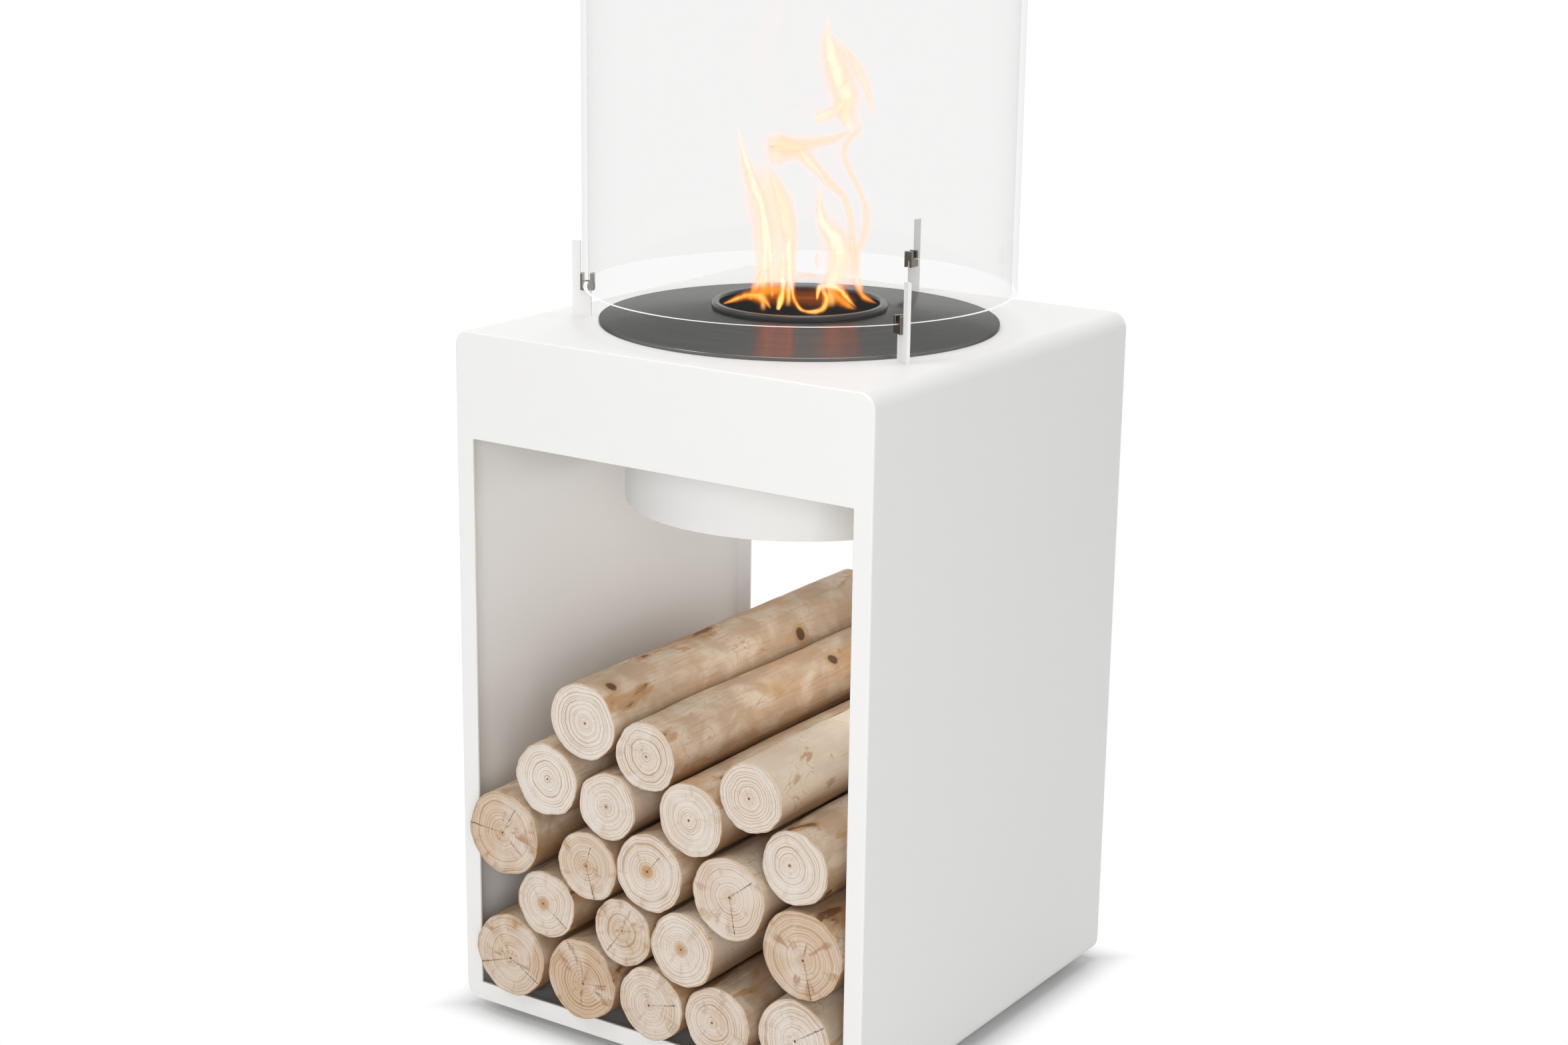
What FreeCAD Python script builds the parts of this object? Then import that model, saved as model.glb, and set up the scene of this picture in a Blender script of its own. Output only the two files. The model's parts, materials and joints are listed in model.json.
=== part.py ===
import FreeCAD, Part
import math
import os
import Sketcher
from types import SimpleNamespace

# A free-standing ethanol fireplace: an open steel casing that stores logs, a round burner that
# hangs in a drum under its top, and a glass tube that stands round the flame on three posts.
# Millimetres, +Z up, the front faces -Y, and the origin lies on the floor under the middle.

SIZES = {
    # Casing: a wrap of sheet whose front and rear are closed by window frames
    "casing_width": 425.0,
    "casing_depth": 425.0,
    "casing_height": 620.0,
    "casing_sheet": 2.5,
    "casing_corner": 14.0,
    "frame_plate": 2.5,
    "frame_border": 17.5,
    "frame_apron": 94.0,
    "frame_edge": 1.8,
    # Feet: turned glides on threaded studs, each held by a nut inside the casing
    "foot_inset": 45.0,
    "foot_pad_radius": 19.0,
    "foot_pad_height": 5.0,
    "foot_hex_flats": 13.0,
    "foot_hex_height": 3.0,
    "foot_stud_radius": 4.0,
    "foot_stud_tail": 1.5,
    "foot_nut_flats": 13.0,
    "foot_nut_height": 6.5,
    # Burner drum: a closed well that hangs from studs under the casing's top
    "drum_wall": 1.5,
    "drum_cover": 23.0,
    "drum_floor_gap": 24.5,
    "drum_flange_width": 19.5,
    "drum_flange_sheet": 2.0,
    "drum_stud_radius": 2.0,
    "drum_stud_tail": 2.0,
    "drum_nut_flats": 7.0,
    "drum_nut_height": 3.2,
    # Glass tube and the posts and clips that carry it
    "glass_wall": 5.0,
    "glass_height": 400.0,
    "glass_bevel": 0.8,
    "post_margin": 12.5,
    "post_gap": 3.3,
    "post_bar_width": 7.2,
    "post_foot_width": 16.5,
    "post_ledge": 29.5,
    "post_height": 66.7,
    "post_plate": 3.0,
    "post_stud_radius": 1.5,
    "post_stud_tail": 1.5,
    "post_nut_flats": 5.5,
    "post_nut_height": 2.4,
    "clip_width": 8.0,
    "clip_jaw": 3.6,
    "clip_web": 1.5,
    "clip_lip": 7.0,
    "clip_saddle": 6.4,
    # Burner: plate, mouth collar, lock ring, tank and the pad that soaks up the fuel
    "plate_gap": 8.0,
    "plate_sheet": 1.5,
    "plate_rim": 3.0,
    "plate_rise": 10.5,
    "plate_landing": 8.0,
    "mouth_radius": 70.0,
    "collar_wall": 2.0,
    "collar_sleeve": 24.0,
    "collar_bead_width": 7.0,
    "collar_bead_height": 5.0,
    "collar_bead_round": 2.6,
    "ring_height": 4.0,
    "tank_gap": 11.0,
    "tank_wall": 1.2,
    "tank_height": 120.0,
    "tank_neck": 26.0,
    "pad_height": 60.0,
    "pad_gap": 1.0,
    # Logs: peeled rounds that lie front to rear on the sills of the two frames
    "log_radius": 35.0,
    "log_overhang": 16.5,
    "log_gap": 0.4,
    # Fits and cuts
    "thread_fit": 0.05,
    "sleeve_fit": 0.2,
    "hole_fit": 0.3,
    "cut_overrun": 1.0,
}

POST_ANGLES = (90.0, 210.0, 330.0)
POST_NAMES = ("rear", "left", "right")
POST_STUD_SHARES = (0.25, 0.75)
DRUM_STUD_COUNT = 6
HEX_SIDES = 6
FULL_TURN = 360.0

# Each log in the order it is laid: girth as a share of log_radius, a guide place as shares of
# half the window's width and of its height, and its front and rear reach as shares of log_overhang.
LOG_SHARES = (
    (1.14, -0.80, 0.08, 0.60, 0.50),
    (1.11, -0.37, 0.08, 0.73, 1.00),
    (0.99, 0.01, 0.07, 0.60, 0.30),
    (1.00, 0.36, 0.07, 0.53, 0.70),
    (1.10, 0.76, 0.08, 0.33, 0.60),
    (0.94, -0.58, 0.20, 0.67, 0.40),
    (0.90, -0.15, 0.20, 0.60, 0.80),
    (0.98, 0.19, 0.20, 0.80, 0.20),
    (1.16, 0.80, 0.24, 0.27, 0.90),
    (1.14, -0.79, 0.32, 1.00, 0.50),
    (0.94, -0.37, 0.30, 0.67, 0.30),
    (1.03, -0.03, 0.31, 0.80, 0.60),
    (1.09, 0.42, 0.30, 0.60, 0.75),
    (0.99, 0.72, 0.38, 0.13, 0.40),
    (0.90, -0.27, 0.41, 0.73, 0.50),
    (1.00, -0.60, 0.44, 0.80, 0.35),
    (0.97, 0.20, 0.41, 0.60, 0.90),
    (0.93, 0.50, 0.48, 0.40, 0.65),
    (0.92, -0.04, 0.50, 0.47, 0.80),
    (1.02, -0.36, 0.55, 0.60, 0.45),
)
TOUCH_SHARE = 1e-6


class Size:
    """A length that carries its number and the sheet expression that it is bound by."""

    def __init__(self, value, text):
        self.value = value
        self.text = text

    @staticmethod
    def of(term):
        if isinstance(term, Size):
            return term
        return Size(float(term), f"({float(term)!r})")

    def __add__(self, other):
        other = Size.of(other)
        return Size(self.value + other.value, f"({self.text} + {other.text})")

    def __sub__(self, other):
        other = Size.of(other)
        return Size(self.value - other.value, f"({self.text} - {other.text})")

    def __mul__(self, factor):
        factor = Size.of(factor)
        return Size(self.value * factor.value, f"({self.text} * {factor.text})")

    def __truediv__(self, factor):
        factor = Size.of(factor)
        return Size(self.value / factor.value, f"({self.text} / {factor.text})")

    def __neg__(self):
        return Size(-self.value, f"(-{self.text})")

    def or_smaller(self, other):
        return Size(min(self.value, other.value), f"min({self.text}; {other.text})")


ZERO = Size.of(0)
doc = FreeCAD.newDocument("fireplace")
sheet = doc.addObject("Spreadsheet::Sheet", "Sizes")
for row, (alias, number) in enumerate(SIZES.items(), start=1):
    sheet.set(f"A{row}", alias)
    sheet.set(f"B{row}", str(number))
    sheet.setAlias(f"B{row}", alias)
doc.recompute()
size = SimpleNamespace(
    **{alias: Size(float(sheet.get(alias)), f"Sizes.{alias}") for alias in SIZES}
)

# Places that several pieces share. The posts stand as far out as the casing's top allows, and the
# glass, the plate, the drum and the tank follow inwards from them.
base_z = size.foot_pad_height + size.foot_hex_height
top_z = base_z + size.casing_height
under_z = top_z - size.casing_sheet
half_width = size.casing_width / 2
half_depth = size.casing_depth / 2
window_half = half_width - size.frame_border
sill_z = base_z + size.frame_border
window_top_z = top_z - size.frame_apron
post_outer = half_width.or_smaller(half_depth) - size.post_margin
post_inner = post_outer - size.post_foot_width
bar_inner = post_outer - size.post_bar_width
glass_radius = bar_inner - size.post_gap
glass_inner = glass_radius - size.glass_wall
plate_radius = post_inner - size.plate_gap
drum_radius = plate_radius - size.drum_cover
drum_stud_reach = drum_radius + size.drum_flange_width / 2
tank_radius = drum_radius - size.drum_wall - size.tank_gap
ledge_z = top_z + size.post_ledge
glass_z = ledge_z + size.clip_web
neck_inner = size.mouth_radius + size.collar_wall + size.sleeve_fit
neck_outer = neck_inner + size.tank_wall
plate_hole = neck_outer + size.sleeve_fit
landing_z = top_z + size.plate_rim + size.plate_rise
tank_top_z = landing_z - size.tank_neck
tank_bottom_z = tank_top_z - size.tank_height
tank_floor_z = tank_bottom_z + size.tank_wall
parts = []


def bind(item, name, length):
    item.setExpression(name, length.text)


def locate(item, x, y, z):
    for axis, place in zip("xyz", (x, y, z)):
        bind(item, f"Placement.Base.{axis}", place)


def turned_about_z(angle):
    return FreeCAD.Placement(
        FreeCAD.Vector(), FreeCAD.Rotation(FreeCAD.Vector(0, 0, 1), angle)
    )


def post_stud_places():
    """Radial places of the two studs under each post."""
    return [post_inner + size.post_foot_width * share for share in POST_STUD_SHARES]


def ring_angles(count):
    return [FULL_TURN * index / count for index in range(count)]


def foot_places():
    """Names and places of the four feet."""
    x = half_width - size.foot_inset
    y = half_depth - size.foot_inset
    return {
        "front_left": (-x, -y),
        "front_right": (x, -y),
        "rear_left": (-x, y),
        "rear_right": (x, y),
    }


# Sketches and features


def new_body(label):
    body = doc.addObject("PartDesign::Body", label)
    body.Label = label
    parts.append(body)
    return body


def new_sketch(body, role, lift=ZERO):
    plane = next(item for item in body.Origin.OriginFeatures if item.Role == role)
    sketch = body.newObject("Sketcher::SketchObject", body.Label + "_sketch")
    sketch.AttachmentSupport = [(plane, "")]
    sketch.MapMode = "FlatFace"
    bind(sketch, "AttachmentOffset.Base.z", lift)
    return sketch


def dimension(sketch, kind, *elements, length):
    index = sketch.addConstraint(Sketcher.Constraint(kind, *elements, length.value))
    bind(sketch, f"Constraints[{index}]", length)


def draw_outline(sketch, corners):
    """Draws a closed outline of straight lines through corners given as sizes."""
    first = sketch.GeometryCount
    points = [FreeCAD.Vector(across.value, up.value, 0) for across, up in corners]
    lines = [first + index for index in range(len(corners))]
    for start, end in zip(points, points[1:] + points[:1]):
        sketch.addGeometry(Part.LineSegment(start, end))
    for line, following in zip(lines, lines[1:] + lines[:1]):
        sketch.addConstraint(Sketcher.Constraint("Coincident", line, 2, following, 1))
    for line, (across, up) in zip(lines, corners):
        dimension(sketch, "DistanceX", line, 1, length=across)
        dimension(sketch, "DistanceY", line, 1, length=up)


def draw_rectangle(sketch, left, right, low, high):
    draw_outline(sketch, [(left, low), (right, low), (right, high), (left, high)])


def draw_circle(sketch, across, up, radius):
    centre = FreeCAD.Vector(across.value, up.value, 0)
    circle = sketch.addGeometry(Part.Circle(centre, FreeCAD.Vector(0, 0, 1), radius.value))
    dimension(sketch, "DistanceX", circle, 3, length=across)
    dimension(sketch, "DistanceY", circle, 3, length=up)
    dimension(sketch, "Radius", circle, length=radius)


def draw_rounded_rectangle(sketch, left, right, low, high, radius):
    """Draws a rectangle whose corners are arcs, tangent to its sides."""
    sides = [
        ((left + radius, low), (right - radius, low)),
        ((right, low + radius), (right, high - radius)),
        ((right - radius, high), (left + radius, high)),
        ((left, high - radius), (left, low + radius)),
    ]
    centres = [
        (right - radius, low + radius),
        (right - radius, high - radius),
        (left + radius, high - radius),
        (left + radius, low + radius),
    ]
    lines = []
    arcs = []
    for turn, (side, centre) in enumerate(zip(sides, centres)):
        ends = [FreeCAD.Vector(across.value, up.value, 0) for across, up in side]
        lines.append(sketch.addGeometry(Part.LineSegment(*ends)))
        middle = FreeCAD.Vector(centre[0].value, centre[1].value, 0)
        circle = Part.Circle(middle, FreeCAD.Vector(0, 0, 1), radius.value)
        start = math.pi / 2 * (turn - 1)
        arcs.append(sketch.addGeometry(Part.ArcOfCircle(circle, start, start + math.pi / 2)))
    for line, arc, following in zip(lines, arcs, lines[1:] + lines[:1]):
        sketch.addConstraint(Sketcher.Constraint("Tangent", line, 2, arc, 1))
        sketch.addConstraint(Sketcher.Constraint("Tangent", arc, 2, following, 1))
    for line, kind in zip(lines, ("Horizontal", "Vertical", "Horizontal", "Vertical")):
        sketch.addConstraint(Sketcher.Constraint(kind, line))
    for arc in arcs[1:]:
        sketch.addConstraint(Sketcher.Constraint("Equal", arcs[0], arc))
    dimension(sketch, "Radius", arcs[0], length=radius)
    for line, kind, place in zip(
        lines, ("DistanceY", "DistanceX", "DistanceY", "DistanceX"), (low, right, high, left)
    ):
        dimension(sketch, kind, line, 1, length=place)


def extrude(body, kind, sketch, length, side="One side", reverse=False):
    """Pads or pockets a sketch; reverse turns its direction round."""
    feature = body.newObject(kind, sketch.Name + "_run")
    feature.Profile = sketch
    feature.SideType = side
    feature.Reversed = reverse
    bind(feature, "Length", length)
    return feature


def turn_body(label, corners):
    """Makes a body turned about the vertical axis from an outline of radii and heights."""
    body = new_body(label)
    sketch = new_sketch(body, "XZ_Plane")
    draw_outline(sketch, corners)
    feature = body.newObject("PartDesign::Revolution", label + "_turn")
    feature.Profile = sketch
    feature.ReferenceAxis = (sketch, ["V_Axis"])
    feature.Angle = FULL_TURN
    return body


def round_edges(body, wanted, radius):
    """Fillets the edges of a body's last feature for which wanted(edge) holds."""
    doc.recompute()
    solid = body.Tip
    names = [
        f"Edge{index}" for index, edge in enumerate(solid.Shape.Edges, start=1) if wanted(edge)
    ]
    feature = body.newObject("PartDesign::Fillet", body.Label + "_round")
    feature.Base = (solid, names)
    bind(feature, "Radius", radius)


def group(label, items):
    """Gathers like solids into one node."""
    compound = doc.addObject("Part::Compound", label)
    compound.Label = label
    compound.Links = items
    parts.append(compound)


def cylinder(name, radius, height):
    item = doc.addObject("Part::Cylinder", name)
    bind(item, "Radius", radius)
    bind(item, "Height", height)
    return item


def hexagon(name, flats, height):
    item = doc.addObject("Part::Prism", name)
    item.Polygon = HEX_SIDES
    bind(item, "Circumradius", flats / math.sqrt(3))
    bind(item, "Height", height)
    return item


def nut(name, flats, height, stud_radius):
    """Makes a hexagon nut that stands on z = 0."""
    bore = cylinder(name + "_bore", stud_radius + size.thread_fit, height + size.cut_overrun * 2)
    locate(bore, ZERO, ZERO, -size.cut_overrun)
    item = doc.addObject("Part::Cut", name)
    item.Base = hexagon(name + "_hex", flats, height)
    item.Tool = bore
    return item


# Casing wrap: one sheet bent round with soft corners, with holes for the burner, posts and feet


def casing_wrap():
    body = new_body("casing_wrap")
    profile = new_sketch(body, "XZ_Plane")
    draw_rounded_rectangle(profile, -half_width, half_width, base_z, top_z, size.casing_corner)
    draw_rounded_rectangle(
        profile,
        size.casing_sheet - half_width,
        half_width - size.casing_sheet,
        base_z + size.casing_sheet,
        under_z,
        size.casing_corner - size.casing_sheet,
    )
    wrap_depth = size.casing_depth - size.frame_plate * 2
    extrude(body, "PartDesign::Pad", profile, wrap_depth, side="Symmetric")
    cut_depth = size.casing_sheet + size.cut_overrun
    top_holes = new_sketch(body, "XY_Plane", top_z)
    draw_circle(top_holes, ZERO, ZERO, drum_radius - size.drum_wall)
    for angle in POST_ANGLES:
        along = math.cos(math.radians(angle))
        aside = math.sin(math.radians(angle))
        for reach in post_stud_places():
            hole = size.post_stud_radius + size.hole_fit
            draw_circle(top_holes, reach * along, reach * aside, hole)
    extrude(body, "PartDesign::Pocket", top_holes, cut_depth)
    foot_holes = new_sketch(body, "XY_Plane", base_z)
    for x, y in foot_places().values():
        draw_circle(foot_holes, x, y, size.foot_stud_radius + size.hole_fit)
    extrude(body, "PartDesign::Pocket", foot_holes, cut_depth, reverse=True)


# Window frames: flat plates that close the wrap's ends, each with one window and a softened rim


def window_frame(label, side):
    body = new_body(label)
    inner_face = half_depth - size.frame_plate
    sketch = new_sketch(body, "XZ_Plane", inner_face * -side)
    draw_rounded_rectangle(sketch, -half_width, half_width, base_z, top_z, size.casing_corner)
    draw_rectangle(sketch, -window_half, window_half, sill_z, window_top_z)
    extrude(body, "PartDesign::Pad", sketch, size.frame_plate, reverse=side > 0)
    doc.recompute()
    outer_face = max(body.Tip.Shape.Faces, key=lambda face: side * face.CenterOfMass.y)
    rim = outer_face.OuterWire.Edges
    round_edges(body, lambda edge: any(edge.isSame(other) for other in rim), size.frame_edge)


# Burner drum: a pressed well with a flange that is pulled up under the casing's top


def burner_drum():
    bore = drum_radius - size.drum_wall
    floor_z = tank_bottom_z - size.drum_floor_gap - size.drum_wall
    flange_radius = drum_radius + size.drum_flange_width
    flange_z = under_z - size.drum_flange_sheet
    body = turn_body(
        "burner_drum",
        [
            (ZERO, floor_z),
            (drum_radius, floor_z),
            (drum_radius, flange_z),
            (flange_radius, flange_z),
            (flange_radius, under_z),
            (bore, under_z),
            (bore, floor_z + size.drum_wall),
            (ZERO, floor_z + size.drum_wall),
        ],
    )
    holes = new_sketch(body, "XY_Plane", under_z)
    for angle in ring_angles(DRUM_STUD_COUNT):
        along = drum_stud_reach * math.cos(math.radians(angle))
        aside = drum_stud_reach * math.sin(math.radians(angle))
        draw_circle(holes, along, aside, size.drum_stud_radius + size.hole_fit)
    extrude(body, "PartDesign::Pocket", holes, size.drum_flange_sheet + size.cut_overrun)


def drum_fixings():
    """Studs welded under the top, and the nuts that hold the drum's flange on them."""
    nut_z = under_z - size.drum_flange_sheet - size.drum_nut_height
    stud_z = nut_z - size.drum_stud_tail
    studs = []
    nuts = []
    for index, angle in enumerate(ring_angles(DRUM_STUD_COUNT)):
        along = drum_stud_reach * math.cos(math.radians(angle))
        aside = drum_stud_reach * math.sin(math.radians(angle))
        stud = cylinder(f"drum_stud_{index}", size.drum_stud_radius, under_z - stud_z)
        locate(stud, along, aside, stud_z)
        studs.append(stud)
        item = nut(
            f"drum_nut_{index}", size.drum_nut_flats, size.drum_nut_height, size.drum_stud_radius
        )
        locate(item, along, aside, nut_z)
        nuts.append(item)
    group("drum_studs", studs)
    group("drum_nuts", nuts)


# Glass posts: flat bars on edge, wide below for the clip to sit on and narrow outside the glass


def glass_post(name, angle):
    body = new_body(f"post_{name}")
    profile = new_sketch(body, "XZ_Plane")
    draw_outline(
        profile,
        [
            (post_inner, top_z),
            (post_outer, top_z),
            (post_outer, top_z + size.post_height),
            (bar_inner, top_z + size.post_height),
            (bar_inner, ledge_z),
            (post_inner, ledge_z),
        ],
    )
    extrude(body, "PartDesign::Pad", profile, size.post_plate, side="Symmetric")
    studs = new_sketch(body, "XY_Plane", top_z)
    for reach in post_stud_places():
        draw_circle(studs, reach, ZERO, size.post_stud_radius)
    stud_length = size.casing_sheet + size.post_nut_height + size.post_stud_tail
    extrude(body, "PartDesign::Pad", studs, stud_length, reverse=True)
    body.Placement = turned_about_z(angle)


def post_nuts():
    items = []
    for name, angle in zip(POST_NAMES, POST_ANGLES):
        along = math.cos(math.radians(angle))
        aside = math.sin(math.radians(angle))
        for index, reach in enumerate(post_stud_places()):
            item = nut(
                f"post_nut_{name}_{index}",
                size.post_nut_flats,
                size.post_nut_height,
                size.post_stud_radius,
            )
            locate(item, reach * along, reach * aside, under_z - size.post_nut_height)
            items.append(item)
    group("post_nuts", items)


# Glass clips: small blocks that straddle a post's ledge and hold the glass in a slot on top


def glass_clip(name, angle):
    slot_inner = glass_inner - size.hole_fit
    slot_outer = glass_radius + size.hole_fit
    clip_inner = slot_inner - size.clip_jaw
    low_z = ledge_z - size.clip_saddle
    high_z = glass_z + size.clip_lip
    body = new_body(f"clip_{name}")
    profile = new_sketch(body, "XZ_Plane")
    draw_outline(
        profile,
        [
            (clip_inner, low_z),
            (bar_inner, low_z),
            (bar_inner, high_z),
            (slot_outer, high_z),
            (slot_outer, glass_z),
            (slot_inner, glass_z),
            (slot_inner, high_z),
            (clip_inner, high_z),
        ],
    )
    extrude(body, "PartDesign::Pad", profile, size.clip_width, side="Symmetric")
    saddle = new_sketch(body, "XY_Plane", low_z)
    saddle_half = size.post_plate / 2 + size.thread_fit
    draw_rectangle(
        saddle,
        clip_inner - size.cut_overrun,
        bar_inner + size.cut_overrun,
        -saddle_half,
        saddle_half,
    )
    extrude(body, "PartDesign::Pocket", saddle, size.clip_saddle, reverse=True)
    body.Placement = turned_about_z(angle)


# Glass screen: an open tube with bevelled ends that stands in the three clips


def glass_screen():
    bevel = size.glass_bevel
    high_z = glass_z + size.glass_height
    turn_body(
        "glass_screen",
        [
            (glass_inner + bevel, glass_z),
            (glass_radius - bevel, glass_z),
            (glass_radius, glass_z + bevel),
            (glass_radius, high_z - bevel),
            (glass_radius - bevel, high_z),
            (glass_inner + bevel, high_z),
            (glass_inner, high_z - bevel),
            (glass_inner, glass_z + bevel),
        ],
    )


# Burner plate: a shallow spun cone that rests on the casing's top and rises to the mouth


def burner_plate():
    landing_radius = plate_hole + size.plate_landing
    inner_rim = plate_radius - size.plate_sheet
    turn_body(
        "burner_plate",
        [
            (plate_radius, top_z),
            (plate_radius, top_z + size.plate_rim),
            (landing_radius, landing_z),
            (plate_hole, landing_z),
            (plate_hole, landing_z - size.plate_sheet),
            (landing_radius, landing_z - size.plate_sheet),
            (inner_rim, top_z + size.plate_rim - size.plate_sheet),
            (inner_rim, top_z),
        ],
    )


# Mouth collar: a sleeve screwed into the tank's neck, with a rounded bead over the plate's edge


def mouth_collar():
    sleeve_radius = size.mouth_radius + size.collar_wall
    bead_radius = size.mouth_radius + size.collar_bead_width
    bead_z = landing_z + size.collar_bead_height
    body = turn_body(
        "mouth_collar",
        [
            (size.mouth_radius, landing_z - size.collar_sleeve),
            (sleeve_radius, landing_z - size.collar_sleeve),
            (sleeve_radius, landing_z),
            (bead_radius, landing_z),
            (bead_radius, bead_z),
            (size.mouth_radius, bead_z),
        ],
    )
    round_edges(
        body,
        lambda edge: math.isclose(edge.CenterOfMass.z, bead_z.value)
        and math.isclose(edge.BoundBox.ZLength, 0, abs_tol=bead_z.value * TOUCH_SHARE),
        size.collar_bead_round,
    )


# Lock ring: runs up the tank's neck and clamps the plate against the collar's bead


def lock_ring():
    inner = neck_outer + size.thread_fit
    outer = plate_hole + size.plate_landing
    high_z = landing_z - size.plate_sheet
    low_z = high_z - size.ring_height
    turn_body("lock_ring", [(inner, low_z), (outer, low_z), (outer, high_z), (inner, high_z)])


# Fuel tank: a welded can with a neck, hung inside the drum


def fuel_tank():
    bore = tank_radius - size.tank_wall
    turn_body(
        "fuel_tank",
        [
            (ZERO, tank_bottom_z),
            (tank_radius, tank_bottom_z),
            (tank_radius, tank_top_z),
            (neck_outer, tank_top_z),
            (neck_outer, landing_z),
            (neck_inner, landing_z),
            (neck_inner, tank_top_z - size.tank_wall),
            (bore, tank_top_z - size.tank_wall),
            (bore, tank_floor_z),
            (ZERO, tank_floor_z),
        ],
    )


# Wick pad: a disc of ceramic wool on the tank's floor that soaks up the fuel


def wick_pad():
    radius = tank_radius - size.tank_wall - size.pad_gap
    item = cylinder("wick_pad", radius, size.pad_height)
    locate(item, ZERO, ZERO, tank_floor_z)
    parts.append(item)


# Levelling feet: a glide pad, a hexagon to turn it by and a stud, and the nuts they run in


def levelling_foot(name, x, y):
    label = f"foot_{name}"
    pad = cylinder(label + "_pad", size.foot_pad_radius, size.foot_pad_height)
    spanner_hex = hexagon(label + "_hex", size.foot_hex_flats, size.foot_hex_height)
    locate(spanner_hex, ZERO, ZERO, size.foot_pad_height)
    stud_length = size.casing_sheet + size.foot_nut_height + size.foot_stud_tail
    stud = cylinder(label + "_stud", size.foot_stud_radius, stud_length)
    locate(stud, ZERO, ZERO, base_z)
    foot = doc.addObject("Part::MultiFuse", label)
    foot.Label = label
    foot.Shapes = [pad, spanner_hex, stud]
    locate(foot, x, y, ZERO)
    parts.append(foot)


def foot_nuts():
    items = []
    for name, (x, y) in foot_places().items():
        item = nut(
            f"foot_nut_{name}", size.foot_nut_flats, size.foot_nut_height, size.foot_stud_radius
        )
        locate(item, x, y, base_z + size.casing_sheet)
        items.append(item)
    group("foot_nuts", items)


# Logs: each one lies in the hollow nearest to its guide place, touching what carries it


def hollows(radius, guide_across, half_span, laid):
    """Lists the places where a log could rest on the sill, the sides and the logs laid so far."""
    places = [(min(max(guide_across, radius - half_span), half_span - radius), radius)]
    for side in (-1, 1):
        edge = side * (half_span - radius)
        places.append((edge, radius))
        for across, up, other in laid:
            reach = (radius + other) ** 2 - (edge - across) ** 2
            if reach > 0 and side * (edge - across) > 0:
                places.append((edge, up + math.sqrt(reach)))
            reach = (radius + other) ** 2 - (radius - up) ** 2
            if reach > 0:
                places.append((across + side * math.sqrt(reach), radius))
    for index, (across, up, other) in enumerate(laid):
        for next_across, next_up, next_other in laid[index + 1 :]:
            step_across = next_across - across
            step_up = next_up - up
            span = math.hypot(step_across, step_up)
            along = (span**2 + (radius + other) ** 2 - (radius + next_other) ** 2) / (2 * span)
            reach = (radius + other) ** 2 - along**2
            if reach < 0:
                continue
            for aside in (math.sqrt(reach), -math.sqrt(reach)):
                place = across + (along * step_across - aside * step_up) / span
                if min(across, next_across) <= place <= max(across, next_across):
                    places.append((place, up + (along * step_up + aside * step_across) / span))
    return places


def is_free(place, radius, half_span, laid):
    across, up = place
    slack = radius * TOUCH_SHARE
    if up < radius - slack or abs(across) > half_span - radius + slack:
        return False
    return all(
        math.hypot(across - other_across, up - other_up) > radius + other - slack
        for other_across, other_up, other in laid
    )


def log_pile():
    half_gap = size.log_gap.value / 2
    half_span = window_half.value - half_gap
    window_height = (window_top_z - sill_z).value
    laid = []
    for number, (girth, across, up, front, rear) in enumerate(LOG_SHARES, start=1):
        guide = (across * window_half.value, up * window_height)
        room = size.log_radius.value * girth + half_gap
        places = [
            place
            for place in hollows(room, guide[0], half_span, laid)
            if is_free(place, room, half_span, laid)
        ]
        resting = min(places, key=lambda place: math.dist(place, guide))
        laid.append((*resting, room))
        label = f"log_{number:02d}"
        length = size.casing_depth + size.log_overhang * (front + rear)
        log = cylinder(label, size.log_radius * girth, length)
        log.Placement = FreeCAD.Placement(
            FreeCAD.Vector(resting[0], 0, sill_z.value + half_gap + resting[1]),
            FreeCAD.Rotation(FreeCAD.Vector(1, 0, 0), -90),
        )
        bind(log, "Placement.Base.y", -(half_depth + size.log_overhang * front))
        parts.append(log)


casing_wrap()
window_frame("front_frame", -1)
window_frame("rear_frame", 1)
burner_drum()
drum_fixings()
for post_name, post_angle in zip(POST_NAMES, POST_ANGLES):
    glass_post(post_name, post_angle)
    glass_clip(post_name, post_angle)
post_nuts()
glass_screen()
burner_plate()
mouth_collar()
lock_ring()
fuel_tank()
wick_pad()
for foot_name, (foot_x, foot_y) in foot_places().items():
    levelling_foot(foot_name, foot_x, foot_y)
foot_nuts()
log_pile()

doc.recompute()
for item in doc.Objects:
    if "Invalid" in item.State or "Error" in item.State:
        raise RuntimeError(f"{item.Label} failed: {item.State}")
for item in parts:
    if item.Shape.isNull() or not item.Shape.isValid():
        raise RuntimeError(f"{item.Label} has no valid shape")

os.makedirs("parts", exist_ok=True)
for item in parts:
    item.Shape.exportStep(f"parts/{item.Label}.step")
    print(item.Label, len(item.Shape.Solids), round(item.Shape.Volume))
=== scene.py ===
import bpy
import bmesh
import json
import math
import random
from mathutils import Matrix, Vector

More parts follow.
